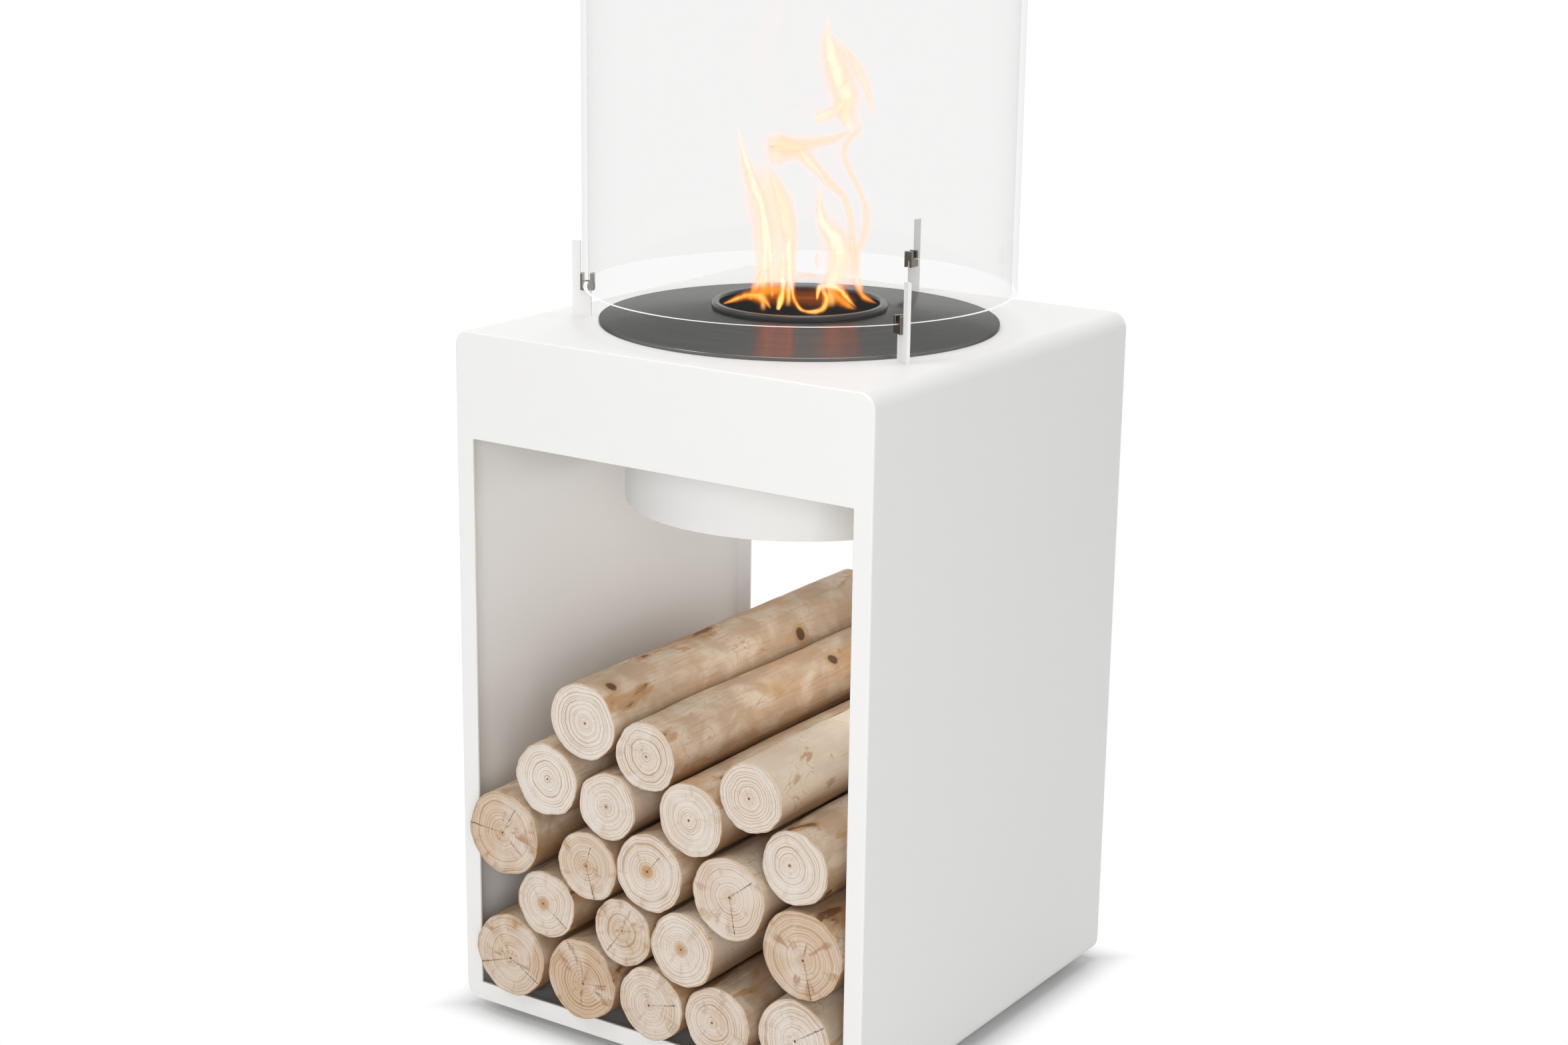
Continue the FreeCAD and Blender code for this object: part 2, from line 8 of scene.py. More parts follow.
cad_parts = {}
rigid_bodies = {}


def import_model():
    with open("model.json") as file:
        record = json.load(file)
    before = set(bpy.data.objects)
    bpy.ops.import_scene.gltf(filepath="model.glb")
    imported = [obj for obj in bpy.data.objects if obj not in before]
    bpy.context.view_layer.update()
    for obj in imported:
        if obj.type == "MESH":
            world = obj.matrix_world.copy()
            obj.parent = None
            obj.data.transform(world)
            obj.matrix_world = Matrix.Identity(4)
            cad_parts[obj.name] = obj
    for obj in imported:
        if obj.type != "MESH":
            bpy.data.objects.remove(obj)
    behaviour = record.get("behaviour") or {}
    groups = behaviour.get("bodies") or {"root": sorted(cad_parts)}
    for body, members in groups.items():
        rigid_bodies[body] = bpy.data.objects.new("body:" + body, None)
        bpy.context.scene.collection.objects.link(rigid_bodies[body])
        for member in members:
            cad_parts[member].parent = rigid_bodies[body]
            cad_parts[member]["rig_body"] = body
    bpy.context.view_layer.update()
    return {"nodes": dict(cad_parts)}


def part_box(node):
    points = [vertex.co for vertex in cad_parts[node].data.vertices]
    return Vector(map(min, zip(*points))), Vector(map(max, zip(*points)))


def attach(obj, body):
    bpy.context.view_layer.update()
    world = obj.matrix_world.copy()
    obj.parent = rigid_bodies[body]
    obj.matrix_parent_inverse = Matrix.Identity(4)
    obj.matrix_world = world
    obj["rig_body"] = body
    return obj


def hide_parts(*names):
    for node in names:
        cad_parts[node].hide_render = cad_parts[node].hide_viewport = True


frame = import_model()

# Camera: stands at the right of the front and looks a little down on the burner, as the
# photograph does. The whole frame of 2352 by 1568 pixels is its picture.
eye = Vector((1.2809, -1.92666, 1.07239))
eye_azimuth = math.radians(33.889)
eye_elevation = math.radians(15.178)
eye_roll = math.radians(0.771)
eye_lens_mm = 61.507
eye_back = Vector((
    math.sin(eye_azimuth) * math.cos(eye_elevation),
    -math.cos(eye_azimuth) * math.cos(eye_elevation),
    math.sin(eye_elevation),
))
level_right = Vector((math.cos(eye_azimuth), math.sin(eye_azimuth), 0))
level_up = eye_back.cross(level_right)
eye_right = level_right * math.cos(eye_roll) + level_up * math.sin(eye_roll)
eye_up = level_up * math.cos(eye_roll) - level_right * math.sin(eye_roll)
camera_data = bpy.data.cameras.new("camera")
camera_data.lens = eye_lens_mm
camera_data.sensor_width = 36
camera = bpy.data.objects.new("camera", camera_data)
camera.matrix_world = Matrix((eye_right, eye_up, eye_back)).transposed().to_4x4()
camera.location = eye
bpy.context.scene.collection.objects.link(camera)
bpy.context.scene.camera = camera
bpy.context.scene.view_settings.view_transform = "Standard"


# Studio: a white floor that takes the shadow, a white surround, four large soft lamps and a faint
# one in the log bay. The floor turns to pure white close to the object, as studio paper does.
def put(tree, kind, inputs=None, **settings):
    """Adds a node; an input is a number, a colour or another node's output."""
    node = tree.nodes.new(kind)
    for key, value in settings.items():
        setattr(node, key, value)
    for key, value in (inputs or {}).items():
        if isinstance(value, bpy.types.NodeSocket):
            tree.links.new(value, node.inputs[key])
        else:
            node.inputs[key].default_value = value
    return node


def calc(tree, operation, first, second=0.0, third=0.0):
    return put(tree, "ShaderNodeMath", {0: first, 1: second, 2: third}, operation=operation).outputs[0]


def new_finish(name):
    material = bpy.data.materials.new(name)
    material.use_nodes = True
    material.node_tree.nodes.clear()
    return material, material.node_tree


def own_place(tree):
    return put(tree, "ShaderNodeTexCoord").outputs["Object"]


def step_up(tree, value, low, high):
    """Rises softly from zero at the low value to one at the high one, or falls where they are swapped."""
    return put(
        tree,
        "ShaderNodeMapRange",
        {"Value": value, "From Min": low, "From Max": high},
        interpolation_type="SMOOTHSTEP",
    ).outputs["Result"]


def seen_directly(tree):
    """One for rays that show a thing to the eye, straight, mirrored or through glass."""
    path = put(tree, "ShaderNodeLightPath")
    mirrored = calc(tree, "MAXIMUM", path.outputs["Is Camera Ray"], path.outputs["Is Glossy Ray"])
    return calc(tree, "MAXIMUM", mirrored, path.outputs["Is Transmission Ray"])


floor_reach = 40.0
floor_paper = 0.8
shadow_near = 0.208
shadow_far = 0.245
floor_mesh = bpy.data.meshes.new("floor")
floor_corners = [(x * floor_reach, y * floor_reach, 0) for x, y in ((-1, -1), (1, -1), (1, 1), (-1, 1))]
floor_mesh.from_pydata(floor_corners, [], [(0, 1, 2, 3)])
floor = bpy.data.objects.new("floor", floor_mesh)
bpy.context.scene.collection.objects.link(floor)
floor_finish, tree = new_finish("studio_paper")
flat = put(tree, "ShaderNodeSeparateXYZ", {0: own_place(tree)}).outputs
away = calc(tree, "MAXIMUM", calc(tree, "ABSOLUTE", flat[0]), calc(tree, "ABSOLUTE", flat[1]))
fade = step_up(tree, away, shadow_near, shadow_far)
paper = put(tree, "ShaderNodeBsdfDiffuse", {"Color": (floor_paper, floor_paper, floor_paper, 1)})
white = put(tree, "ShaderNodeEmission", {"Color": (1, 1, 1, 1), "Strength": 1.0})
share = calc(tree, "MULTIPLY", fade, seen_directly(tree))
mixed = put(tree, "ShaderNodeMixShader", {0: share, 1: paper.outputs[0], 2: white.outputs[0]})
put(tree, "ShaderNodeOutputMaterial", {"Surface": mixed.outputs[0]})
floor_mesh.materials.append(floor_finish)

surround_light = 0.36
world = bpy.data.worlds.new("surround")
world.use_nodes = True
bpy.context.scene.world = world
tree = world.node_tree
tree.nodes.clear()
soft = put(tree, "ShaderNodeBackground", {"Color": (0.98, 0.99, 1.0, 1), "Strength": surround_light})
white = put(tree, "ShaderNodeBackground", {"Color": (1, 1, 1, 1), "Strength": 1.0})
mixed = put(
    tree, "ShaderNodeMixShader", {0: seen_directly(tree), 1: soft.outputs[0], 2: white.outputs[0]}
)
put(tree, "ShaderNodeOutputWorld", {"Surface": mixed.outputs[0]})

object_middle = Vector((0, 0, 0.5))
bay_left_wall = Vector((-0.2, 0.08, 0.18))
for name, spot, aim, side, watts, mirrored in (
    ("high_left_lamp", Vector((-1.6, -1.9, 2.7)), object_middle, 0.9, 16, True),
    ("overhead_lamp", Vector((0.0, 0.2, 3.6)), object_middle, 2.0, 47, True),
    ("front_right_lamp", Vector((2.15, -3.3, 1.15)), object_middle, 2.0, 72, False),
    ("rear_left_lamp", Vector((-2.15, 3.3, 1.0)), object_middle, 2.0, 80, False),
    ("bay_lamp", Vector((0.17, 0.0, 0.43)), bay_left_wall, 0.1, 0.16, False),
):
    lamp_data = bpy.data.lights.new(name, "AREA")
    lamp_data.shape = "SQUARE"
    lamp_data.size = side
    lamp_data.energy = watts
    lamp = bpy.data.objects.new(name, lamp_data)
    lamp.location = spot
    lamp.rotation_euler = (aim - spot).to_track_quat("-Z", "Y").to_euler()
    lamp.visible_camera = False
    lamp.visible_transmission = False
    lamp.visible_glossy = mirrored
    bpy.context.scene.collection.objects.link(lamp)


# Casing: top, sides and base are one sheet of steel bent round with soft corners, and two flat
# frames close it at the front and the rear. Welded, ground flush and powder-coated matt white.
def smooth_by_angle(mesh, degrees):
    mesh.shade_smooth()
    mesh.set_sharp_from_angle(angle=math.radians(degrees))


def softened(node, finish, edge, sharp_degrees=30.0, edge_steps=2):
    """Stands in for a hard piece with the same shape, its edges broken as a coat or a file leaves them."""
    mesh = frame["nodes"][node].data.copy()
    mesh.name = node + "_soft"
    weld = 1e-6
    flat_degrees = 0.5
    shape = bmesh.new()
    shape.from_mesh(mesh)
    bmesh.ops.remove_doubles(shape, verts=shape.verts, dist=weld)
    bmesh.ops.dissolve_limit(
        shape, angle_limit=math.radians(flat_degrees), verts=shape.verts, edges=shape.edges
    )
    shape.to_mesh(mesh)
    shape.free()
    mesh.materials.clear()
    mesh.materials.append(finish)
    smooth_by_angle(mesh, sharp_degrees)
    piece = bpy.data.objects.new(node + "_soft", mesh)
    bpy.context.scene.collection.objects.link(piece)
    bevel = piece.modifiers.new("edge", "BEVEL")
    bevel.width = edge
    bevel.segments = edge_steps
    bevel.limit_method = "ANGLE"
    bevel.angle_limit = math.radians(sharp_degrees)
    flat = piece.modifiers.new("flat", "WEIGHTED_NORMAL")
    flat.keep_sharp = True
    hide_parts(node)
    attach(piece, frame["nodes"][node]["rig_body"])
    return piece


def cloudy(tree, place, scale, detail, distortion=0.0):
    return put(
        tree,
        "ShaderNodeTexNoise",
        {"Vector": place, "Scale": scale, "Detail": detail, "Distortion": distortion},
    ).outputs["Fac"]


def tinted(tree, share, colour_from, colour_to):
    return put(
        tree, "ShaderNodeMix", {0: share, 6: colour_from, 7: colour_to}, data_type="RGBA"
    ).outputs[2]


def spread(tree, value, low, high):
    return put(
        tree, "ShaderNodeMapRange", {"Value": value, "To Min": low, "To Max": high}
    ).outputs["Result"]


def raised(tree, height, strength, depth):
    return put(
        tree, "ShaderNodeBump", {"Height": height, "Strength": strength, "Distance": depth}
    ).outputs["Normal"]


def surfaced(tree, **inputs):
    """Ends a finish in the standard surface; an input's name has low lines for its spaces."""
    inputs = {key.replace("_", " "): value for key, value in inputs.items()}
    shader = put(tree, "ShaderNodeBsdfPrincipled", inputs)
    put(tree, "ShaderNodeOutputMaterial", {"Surface": shader.outputs[0]})


def powder_coat(name, colour, lighter):
    """A baked powder: nearly even, with the faint pebbling of the melted grains."""
    grains_per_metre = 1100.0
    clouds_per_metre = 5.0
    pebble_depth = 0.00012
    material, tree = new_finish(name)
    place = own_place(tree)
    grain = cloudy(tree, place, grains_per_metre, 2.0)
    cloud = cloudy(tree, place, clouds_per_metre, 3.0)
    surfaced(
        tree,
        Base_Color=tinted(tree, cloud, colour, lighter),
        Roughness=spread(tree, grain, 0.48, 0.62),
        Normal=raised(tree, grain, 0.25, pebble_depth),
    )
    return material


white_coat = powder_coat("white_coat", (0.885, 0.877, 0.86, 1), (0.90, 0.893, 0.878, 1))
coat_edge = 0.0006
for node in ("casing_wrap", "front_frame", "rear_frame"):
    softened(node, white_coat, coat_edge)


# Burner drum: a pressed steel well, coated white like the casing. It hangs under the top by a
# flange on six welded studs with nuts, and the fuel tank hangs inside it. All studs and nuts, and
# the ring that clamps the burner's plate, are zinc-plated steel.
def bright_metal(name, colour, rough, speckles_per_metre, speckle_depth):
    """Bare or plated metal with a fine even tooth."""
    darkest_share = 0.82
    material, tree = new_finish(name)
    speckle = cloudy(tree, own_place(tree), speckles_per_metre, 4.0)
    darker = tuple(part * darkest_share for part in colour[:3]) + (1,)
    surfaced(
        tree,
        Base_Color=tinted(tree, speckle, darker, colour),
        Metallic=1.0,
        Roughness=spread(tree, speckle, rough * 0.75, rough * 1.25),
        Normal=raised(tree, speckle, 0.3, speckle_depth),
    )
    return material


softened("burner_drum", white_coat, coat_edge)
zinc_plate = bright_metal("zinc_plate", (0.6, 0.6, 0.6, 1), 0.34, 700.0, 0.00005)
nut_edge = 0.00025
for node in ("drum_studs", "drum_nuts", "post_nuts", "foot_nuts", "lock_ring"):
    softened(node, zinc_plate, nut_edge)


# Glass posts and clips: each post is a flat bar on edge, coated white and screwed through the
# top. A bronzed clip straddles its ledge and holds the foot of the glass in a slot.
bronzed_steel = bright_metal("bronzed_steel", (0.22, 0.19, 0.16, 1), 0.3, 900.0, 0.00004)
post_edge = 0.0004
for side in ("rear", "left", "right"):
    softened("post_" + side, white_coat, post_edge)
    softened("clip_" + side, bronzed_steel, post_edge)


# Feet: black moulded glides on threaded studs that carry the casing a few millimetres clear of
# the floor. Each turns in a nut inside the base to stand the burner level.
def moulded_plastic(name, colour):
    grains_per_metre = 1500.0
    grain_depth = 0.0001
    material, tree = new_finish(name)
    grain = cloudy(tree, own_place(tree), grains_per_metre, 3.0)
    surfaced(
        tree,
        Base_Color=colour,
        Roughness=spread(tree, grain, 0.45, 0.65),
        Normal=raised(tree, grain, 0.3, grain_depth),
    )
    return material


foot_plastic = moulded_plastic("foot_plastic", (0.03, 0.03, 0.03, 1))
foot_edge = 0.0008
for corner in ("front_left", "front_right", "rear_left", "rear_right"):
    softened("foot_" + corner, foot_plastic, foot_edge)


# Burner plate: a shallow cone spun from dark steel and brushed in circles. It lies on the top
# round the drum's hole and is clamped between the mouth's collar and a ring below.
def point(tree, x, y, z):
    return put(tree, "ShaderNodeCombineXYZ", {0: x, 1: y, 2: z}).outputs[0]


def circle_brushed(name, dark, light, rough, lines_per_metre, ring_share, edge_tint):
    """Metal brushed in circles round the upright axis: fine rings, longer than they are wide."""
    groove_depth = 0.00005
    material, tree = new_finish(name)
    x, y, z = put(tree, "ShaderNodeSeparateXYZ", {0: own_place(tree)}).outputs
    across = calc(tree, "POWER", x, 2.0)
    along = calc(tree, "POWER", y, 2.0)
    radius = calc(tree, "SQRT", calc(tree, "ADD", across, along))
    turn = calc(tree, "ARCTAN2", y, x)
    lines = point(
        tree,
        calc(tree, "MULTIPLY", radius, lines_per_metre),
        calc(tree, "MULTIPLY", turn, ring_share),
        calc(tree, "MULTIPLY", z, lines_per_metre),
    )
    scratch = cloudy(tree, lines, 1.0, 5.0)
    ring_way = put(tree, "ShaderNodeTangent", direction_type="RADIAL", axis="Z")
    surfaced(
        tree,
        Base_Color=tinted(tree, scratch, dark, light),
        Metallic=1.0,
        Roughness=spread(tree, scratch, rough * 0.8, rough * 1.2),
        Normal=raised(tree, scratch, 0.012, groove_depth),
        Specular_Tint=edge_tint,
        Anisotropic=0.8,
        Anisotropic_Rotation=0.25,
        Tangent=ring_way.outputs[0],
    )
    return material


brushed_dark_steel = circle_brushed(
    "brushed_dark_steel",
    dark=(0.12, 0.12, 0.117, 1),
    light=(0.225, 0.224, 0.217, 1),
    rough=0.2,
    lines_per_metre=650.0,
    ring_share=1.5,
    edge_tint=(0.435, 0.435, 0.43, 1),
)
plate_edge = 0.0004
softened("burner_plate", brushed_dark_steel, plate_edge, sharp_degrees=25.0)


# Mouth collar: a turned steel ring in black heat-proof enamel. Its sleeve screws into the tank's
# neck, and its round bead covers the edge of the plate.
def enamel(name, colour, rough):
    ripples_per_metre = 180.0
    ripple_depth = 0.0003
    material, tree = new_finish(name)
    flow = cloudy(tree, own_place(tree), ripples_per_metre, 3.0)
    surfaced(
        tree,
        Base_Color=colour,
        Roughness=spread(tree, flow, rough * 0.8, rough * 1.25),
        Specular_IOR_Level=0.42,
        Normal=raised(tree, flow, 0.1, ripple_depth),
    )
    return material


black_enamel = enamel("black_enamel", (0.012, 0.012, 0.012, 1), 0.24)
softened("mouth_collar", black_enamel, plate_edge, sharp_degrees=40.0)


# Fuel tank and wick pad: a welded stainless can under the plate, and the disc of felted ceramic
# wool on its floor that soaks up the fuel. Both show only when the burner is lifted out.
def wool_felt(name, light, dark):
    tufts_per_metre = 260.0
    nap_depth = 0.001
    material, tree = new_finish(name)
    fibre = put(
        tree,
        "ShaderNodeTexNoise",
        {
            "Vector": own_place(tree),
            "Scale": tufts_per_metre,
            "Detail": 8.0,
            "Roughness": 0.7,
            "Distortion": 1.5,
        },
    ).outputs["Fac"]
    surfaced(
        tree,
        Base_Color=tinted(tree, fibre, dark, light),
        Roughness=0.95,
        Normal=raised(tree, fibre, 0.6, nap_depth),
    )
    return material


tank_steel = circle_brushed(
    "tank_steel",
    dark=(0.42, 0.42, 0.41, 1),
    light=(0.6, 0.6, 0.59, 1),
    rough=0.32,
    lines_per_metre=500.0,
    ring_share=3.0,
    edge_tint=(1, 1, 1, 1),
)
ceramic_wool = wool_felt("ceramic_wool", (0.84, 0.83, 0.79, 1), (0.6, 0.58, 0.53, 1))
tank_edge = 0.0005
pad_edge = 0.002
softened("fuel_tank", tank_steel, tank_edge)
softened("wick_pad", ceramic_wool, pad_edge, edge_steps=3)


# Logs: peeled pine rounds, sawn square at both ends and stacked front to rear in the casing.
# Each is a little crooked in girth, dried out, and split and stained in its own way.
def log_input(tree, name, kind, value):
    socket = tree.interface.new_socket(name=name, in_out="INPUT", socket_type=kind)
    socket.default_value = value
    return socket.identifier


def log_noise(tree, place, seed, scale, detail):
    return put(
        tree,
        "ShaderNodeTexNoise",
        {"Vector": place, "W": seed, "Scale": scale, "Detail": detail},
        noise_dimensions="4D",
    ).outputs["Fac"]


def peeled_log_tree(finish):
    """A round along Y about its own axis: lumpy girth, narrower ends, ends cut a little out of true."""
    tree = bpy.data.node_groups.new("peeled_log", "GeometryNodeTree")
    sockets = {
        name: log_input(tree, name, kind, value)
        for name, kind, value in (
            ("Radius", "NodeSocketFloat", 0.035),
            ("Length", "NodeSocketFloat", 0.44),
            ("Seed", "NodeSocketFloat", 0.0),
            ("Lumps", "NodeSocketFloat", 0.05),
            ("Front Taper", "NodeSocketFloat", 0.04),
            ("Rear Taper", "NodeSocketFloat", 0.04),
        )
    }
    tree.interface.new_socket(name="Log", in_out="OUTPUT", socket_type="NodeSocketGeometry")
    given = put(tree, "NodeGroupInput").outputs
    round_bar = put(
        tree,
        "GeometryNodeMeshCylinder",
        {"Vertices": 88, "Side Segments": 36, "Fill Segments": 10, "Radius": 1.0, "Depth": 1.0},
        fill_type="TRIANGLE_FAN",
    )
    start = put(tree, "GeometryNodeInputPosition").outputs[0]
    x, z, y = put(tree, "ShaderNodeSeparateXYZ", {0: start}).outputs
    z = calc(tree, "MULTIPLY", z, -1.0)

    # Girth: broad flats and swellings that change slowly along the log, and finer axe marks
    flats_place = point(tree, x, calc(tree, "MULTIPLY", y, 1.6), z)
    flats = log_noise(tree, flats_place, given["Seed"], 1.3, 2.0)
    marks_place = point(tree, x, calc(tree, "MULTIPLY", y, 5.0), z)
    marks = log_noise(tree, marks_place, given["Seed"], 3.0, 2.0)
    marks_share = 0.35
    untouched = 0.48
    lump = calc(tree, "MULTIPLY_ADD", marks, marks_share, flats)
    lump = calc(tree, "MAXIMUM", calc(tree, "SUBTRACT", lump, untouched), 0.0)
    lump = calc(tree, "MULTIPLY", lump, given["Lumps"])
    front_side = calc(tree, "MAXIMUM", calc(tree, "MULTIPLY", y, -2.0), 0.0)
    rear_side = calc(tree, "MAXIMUM", calc(tree, "MULTIPLY", y, 2.0), 0.0)
    front_loss = calc(tree, "MULTIPLY", calc(tree, "POWER", front_side, 3.0), given["Front Taper"])
    rear_loss = calc(tree, "MULTIPLY", calc(tree, "POWER", rear_side, 3.0), given["Rear Taper"])
    loss = calc(tree, "ADD", lump, calc(tree, "ADD", front_loss, rear_loss))
    girth = calc(tree, "MULTIPLY", calc(tree, "SUBTRACT", 1.0, loss), given["Radius"])

    # The saw leaves faint waves, so the ends are not quite flat
    saw_depth = 0.004
    saw = log_noise(tree, marks_place, given["Seed"], 1.2, 1.0)
    wave = calc(tree, "MULTIPLY", saw, calc(tree, "MULTIPLY", y, -2.0 * saw_depth))
    at_end = calc(tree, "GREATER_THAN", calc(tree, "ABSOLUTE", y), 0.499)
    wave = calc(tree, "MULTIPLY", wave, at_end)
    shaped = point(
        tree,
        calc(tree, "MULTIPLY", x, girth),
        calc(tree, "MULTIPLY_ADD", y, given["Length"], wave),
        calc(tree, "MULTIPLY", z, girth),
    )
    place_on_log = point(tree, x, calc(tree, "MULTIPLY", y, given["Length"]), z)
    ends = put(
        tree,
        "FunctionNodeBooleanMath",
        {0: round_bar.outputs["Top"], 1: round_bar.outputs["Bottom"]},
        operation="OR",
    )
    marked = put(
        tree,
        "GeometryNodeStoreNamedAttribute",
        {
            "Geometry": round_bar.outputs["Mesh"],
            "Name": "sawn",
            "Value": calc(tree, "MULTIPLY", ends.outputs[0], 1.0),
        },
        data_type="FLOAT",
        domain="FACE",
    )
    placed = put(
        tree,
        "GeometryNodeStoreNamedAttribute",
        {"Geometry": marked.outputs[0], "Name": "log_place", "Value": place_on_log},
        data_type="FLOAT_VECTOR",
        domain="POINT",
    )
    moved = put(
        tree,
        "GeometryNodeSetPosition",
        {"Geometry": placed.outputs[0], "Position": shaped},
    )
    whole = put(tree, "GeometryNodeRealizeInstances", {0: moved.outputs[0]})
    coated = put(tree, "GeometryNodeSetMaterial", {"Geometry": whole.outputs[0], "Material": finish})
    put(tree, "NodeGroupOutput", {0: coated.outputs[0]})
    return tree, sockets


def named(tree, name, kind="FLOAT"):
    node = put(tree, "ShaderNodeAttribute", attribute_name=name, attribute_type="GEOMETRY")
    return node.outputs["Fac"] if kind == "FLOAT" else node.outputs["Vector"]


def stained(tree, share, strength, base, colour):
    return tinted(tree, calc(tree, "MULTIPLY", share, strength), base, colour)


def length_of(tree, x, z):
    squares = calc(tree, "ADD", calc(tree, "MULTIPLY", x, x), calc(tree, "MULTIPLY", z, z))
    return calc(tree, "SQRT", squares)


def split(tree, x, z, far, name, wobble):
    """A drying crack out from the pith; the named attribute gives its way and how far it reaches."""
    way = put(tree, "ShaderNodeSeparateXYZ", {0: named(tree, name, "VECTOR")})
    cos, sin, reach = way.outputs
    aside = calc(tree, "SUBTRACT", calc(tree, "MULTIPLY", x, sin), calc(tree, "MULTIPLY", z, cos))
    aside = calc(tree, "ABSOLUTE", calc(tree, "ADD", aside, wobble))
    along = calc(tree, "ADD", calc(tree, "MULTIPLY", x, cos), calc(tree, "MULTIPLY", z, sin))
    gape = calc(tree, "MULTIPLY", far, 0.012)
    line = step_up(tree, calc(tree, "SUBTRACT", aside, gape), 0.010, -0.008)
    from_pith = step_up(tree, along, 0.0, 0.12)
    until = calc(tree, "LESS_THAN", along, reach)
    return calc(tree, "MULTIPLY", line, calc(tree, "MULTIPLY", from_pith, until))


def sawn_end(tree, x, z, seed, tan):
    """Growth rings, heart, pith, sap stains and drying cracks; gives the colour and the relief."""
    pith = put(tree, "ShaderNodeSeparateXYZ", {0: named(tree, "log_pith", "VECTOR")})
    px = calc(tree, "SUBTRACT", x, pith.outputs[0])
    pz = calc(tree, "SUBTRACT", z, pith.outputs[2])
    far = length_of(tree, px, pz)
    place = point(tree, px, calc(tree, "MULTIPLY", seed, 3.7), pz)
    fibre = cloudy(tree, place, 26.0, 6.0)

    # Rings: pale early wood with thin tan late-wood lines, drawn out of round by the years
    years = calc(tree, "MULTIPLY_ADD", cloudy(tree, place, 1.6, 2.0), 0.16, far)
    uneven = cloudy(tree, point(tree, calc(tree, "MULTIPLY", years, 9.0), seed, 0.0), 0.8, 1.0)
    count = calc(tree, "MULTIPLY_ADD", uneven, 2.6, calc(tree, "MULTIPLY", years, 11.5))
    year = calc(tree, "FRACT", count)
    late = calc(tree, "MULTIPLY", step_up(tree, year, 0.55, 0.9), step_up(tree, year, 1.0, 0.95))
    year_place = point(tree, calc(tree, "FLOOR", count), calc(tree, "MULTIPLY", seed, 5.1), 0.0)
    bold = put(tree, "ShaderNodeTexWhiteNoise", {0: year_place}, noise_dimensions="3D").outputs["Value"]
    late = calc(tree, "MULTIPLY", late, calc(tree, "MULTIPLY_ADD", bold, 0.7, 0.45))
    early_wood = tinted(tree, tan, (0.81, 0.735, 0.66, 1), (0.64, 0.465, 0.32, 1))
    late_wood = tinted(tree, tan, (0.53, 0.37, 0.24, 1), (0.40, 0.245, 0.13, 1))
    end = tinted(tree, late, early_wood, late_wood)
    pale = step_up(tree, cloudy(tree, place, 1.1, 3.0, 0.5), 0.42, 0.66)
    end = stained(tree, pale, 0.45, end, (0.82, 0.77, 0.71, 1))
    end = stained(tree, step_up(tree, fibre, 0.45, 0.75), 0.22, end, (0.48, 0.335, 0.215, 1))
    core = step_up(tree, far, 0.30, 0.07)
    end = stained(tree, core, named(tree, "log_heart"), end, (0.54, 0.31, 0.14, 1))

    # Sap stains spread out from the heart like a fan
    reach = calc(tree, "ADD", far, 0.12)
    spoke_place = point(
        tree,
        calc(tree, "DIVIDE", px, reach),
        calc(tree, "MULTIPLY_ADD", far, 0.5, calc(tree, "MULTIPLY", seed, 5.3)),
        calc(tree, "DIVIDE", pz, reach),
    )
    spoke = step_up(tree, cloudy(tree, spoke_place, 3.2, 6.0), 0.54, 0.70)
    end = stained(tree, spoke, calc(tree, "MULTIPLY", tan, 0.85), end, (0.38, 0.20, 0.09, 1))
    rim = step_up(tree, length_of(tree, x, z), 0.93, 1.0)
    end = stained(tree, rim, 0.5, end, (0.55, 0.34, 0.18, 1))
    pith_dot = step_up(tree, calc(tree, "MULTIPLY_ADD", fibre, 0.02, far), 0.055, 0.03)
    end = tinted(tree, pith_dot, end, (0.16, 0.07, 0.03, 1))
    wobble = calc(tree, "MULTIPLY", calc(tree, "SUBTRACT", fibre, 0.5), 0.10)
    cracks = calc(
        tree,
        "MAXIMUM",
        split(tree, px, pz, far, "log_split_one", wobble),
        split(tree, px, pz, far, "log_split_two", wobble),
    )
    end = stained(tree, cracks, 0.9, end, (0.09, 0.045, 0.02, 1))
    relief = calc(tree, "MULTIPLY_ADD", late, 0.3, calc(tree, "MULTIPLY", fibre, 0.5))
    return end, calc(tree, "MULTIPLY_ADD", cracks, -1.6, relief)


